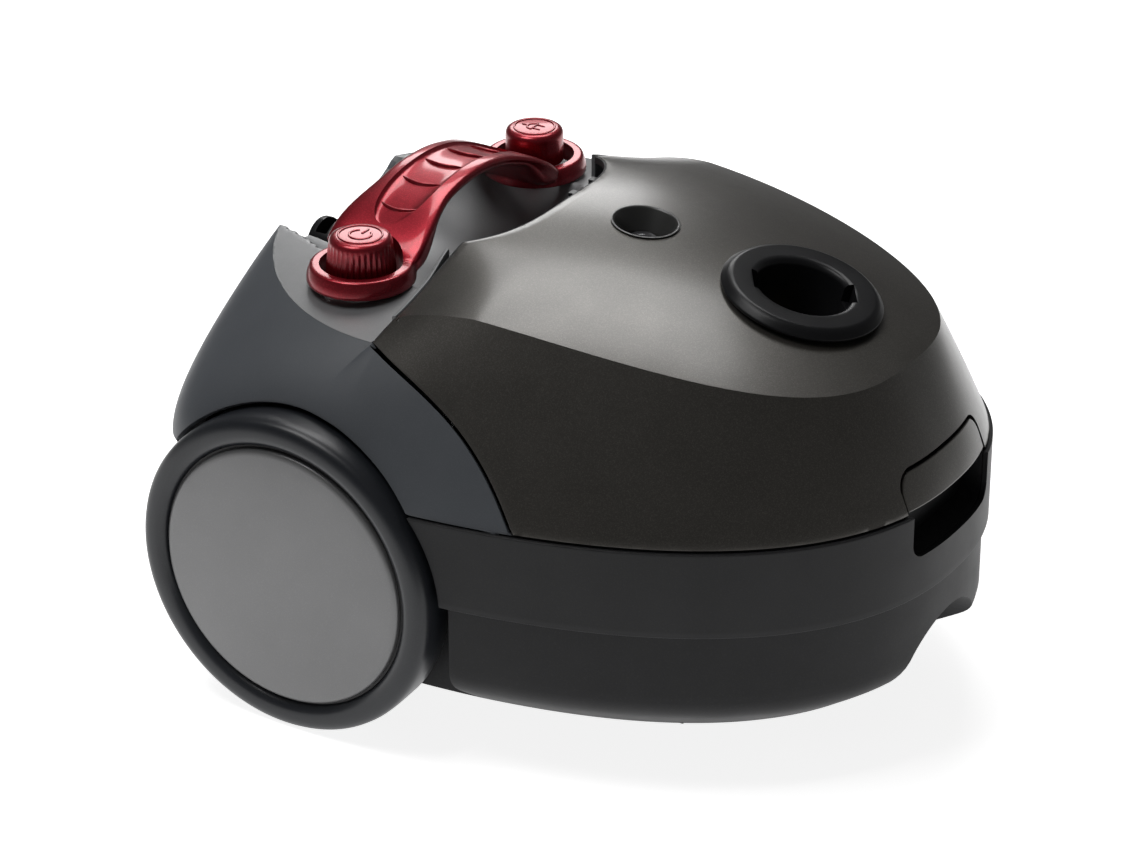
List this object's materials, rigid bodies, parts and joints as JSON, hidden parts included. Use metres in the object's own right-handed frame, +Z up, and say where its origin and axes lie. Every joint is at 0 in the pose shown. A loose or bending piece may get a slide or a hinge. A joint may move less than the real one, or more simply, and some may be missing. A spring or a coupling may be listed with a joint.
{
  "type": "canister vacuum cleaner",
  "caption": "Compact canister vacuum cleaner on big rear wheels and a nose caster, with a hinged dust lid, hose socket, carry handle and round controls.",
  "frame": {"origin": "on the floor, under the middle of the machine", "axes": "+X to the nose with the latch and caster, +Y to the machine's left, +Z up"},
  "size_m": [0.3298, 0.307, 0.213],
  "materials": {
    "tub_plastic": "fine moulded texture, nearly black",
    "band_plastic": "fine moulded texture, black",
    "shell_plastic": "satin dark blue-grey",
    "deck_plastic": "satin light grey, fine texture",
    "lid_paint": "metallic warm dark grey with fine flake",
    "black_plastic": "satin black",
    "handle_paint": "metallic dark red",
    "disc_plastic": "satin mid grey",
    "rim_rubber": "smooth satin blue-black",
    "soft_rubber": "matt",
    "steel": "ground",
    "spring_steel": "drawn wire",
    "smoked_clear": "smoked, shiny",
    "signal_red": "plain red",
    "board": "printed board",
    "ivory_plastic": "natural nylon",
    "laminations": "stacked sheet",
    "copper": "enamelled windings",
    "fan_metal": "pressed sheet",
    "card": "plain board",
    "bag_paper": "two-ply filter paper",
    "filter_fleece": "fleece"
  },
  "bodies": {
    "body": {"tub": "tub_plastic", "bumper_band": "band_plastic", "rear_shell": "shell_plastic", "grip_deck": "deck_plastic", "hinge_brackets": "black_plastic", "hinge_pins": "steel", "carry_handle": "handle_paint", "handle_screws": "steel", "speed_control": "black_plastic", "control_board": "board", "rewind_spring": "spring_steel", "reel_axle": "steel", "reel_frame": "black_plastic", "reel_spring_case": "fan_metal", "cord_gland": "soft_rubber", "motor_can": "fan_metal", "stator_core": "laminations", "fan_cover": "fan_metal", "motor_front_seal": "soft_rubber", "motor_rear_mount": "soft_rubber", "bag_holder": "black_plastic", "bag_plate": "card", "dust_bag": "bag_paper", "filter_grid": "black_plastic", "motor_filter": "filter_fleece", "exhaust_filter": "filter_fleece", "exhaust_grille": "tub_plastic", "parking_clip": "black_plastic", "wheel_axles": "steel", "wheel_clips": "spring_steel", "shell_screws": "steel"},
    "lid": {"dust_lid": "lid_paint", "lid_gasket": "soft_rubber", "latch_pin": "steel", "latch_spring": "spring_steel", "hose_socket": "black_plastic", "hose_seal": "soft_rubber", "indicator_dish": "black_plastic", "indicator_lens": "smoked_clear", "indicator_spring": "spring_steel"},
    "latch": {"latch_button": "lid_paint"},
    "indicator": {"indicator_piston": "signal_red"},
    "knob": {"power_knob": "handle_paint"},
    "rewind": {"rewind_button": "handle_paint"},
    "brake": {"brake_lever": "ivory_plastic"},
    "reel": {"cable_reel": "black_plastic"},
    "rotor": {"motor_rotor": "copper", "fan_impeller": "fan_metal"},
    "wheel_right": {"tyre_right": "rim_rubber", "wheel_hub_right": "black_plastic", "wheel_cover_right": "disc_plastic"},
    "wheel_left": {"tyre_left": "rim_rubber", "wheel_hub_left": "black_plastic", "wheel_cover_left": "disc_plastic"},
    "caster_swivel": {"caster_fork": "black_plastic", "caster_axle": "steel", "caster_clip": "spring_steel"},
    "caster_roller": {"caster_wheel": "rim_rubber"}
  },
  "joints": [
    {"name": "lid_hinge", "type": "hinge", "parent": "body", "child": "lid", "pos_m": [-0.041, 0, 0.194], "axis": [0, -1, 0], "range_deg": [0, 70]},
    {"name": "latch_pull", "type": "hinge", "parent": "lid", "child": "latch", "pos_m": [0.144, 0, 0.141], "axis": [0, -1, 0], "range_deg": [0, 6], "stiffness_Nm_per_rad": 0.3, "springref_deg": -2.86, "deforming": ["latch_spring"]},
    {"name": "indicator_rise", "type": "slide", "parent": "lid", "child": "indicator", "axis": [0.1219, 0, 0.9925], "range_m": [0, 0.008], "stiffness_N_per_m": 20, "deforming": ["indicator_spring"]},
    {"name": "power_turn", "type": "hinge", "parent": "body", "child": "knob", "pos_m": [-0.094, -0.071, 0.19], "axis": [0, 0, 1], "range_deg": [-135, 135]},
    {"name": "rewind_press", "type": "slide", "parent": "body", "child": "rewind", "axis": [0, 0, -1], "range_m": [0, 0.004], "stiffness_N_per_m": 400, "deforming": ["rewind_spring"]},
    {"name": "brake_rock", "type": "hinge", "parent": "body", "child": "brake", "pos_m": [-0.116, 0.071, 0.144], "axis": [0, 1, 0], "range_deg": [0, 15]},
    {"name": "reel_spin", "type": "hinge", "parent": "body", "child": "reel", "pos_m": [-0.092, 0.05, 0.08], "axis": [0, 1, 0], "continuous": true},
    {"name": "motor_spin", "type": "hinge", "parent": "body", "child": "rotor", "pos_m": [-0.09, -0.048, 0.078], "axis": [1, 0, 0], "continuous": true},
    {"name": "wheel_right_roll", "type": "hinge", "parent": "body", "child": "wheel_right", "pos_m": [-0.085, -0.14, 0.074], "axis": [0, 1, 0], "continuous": true},
    {"name": "wheel_left_roll", "type": "hinge", "parent": "body", "child": "wheel_left", "pos_m": [-0.085, 0.14, 0.074], "axis": [0, 1, 0], "continuous": true},
    {"name": "caster_turn", "type": "hinge", "parent": "body", "child": "caster_swivel", "pos_m": [0.112, 0, 0.06], "axis": [0, 0, 1], "continuous": true},
    {"name": "caster_roll", "type": "hinge", "parent": "caster_swivel", "child": "caster_roller", "pos_m": [0.099, 0, 0.019], "axis": [0, 1, 0], "continuous": true}
  ],
  "couplings": [
    {"joint": "brake_rock", "follows": "rewind_press", "rad_per_m": 62}
  ]
}
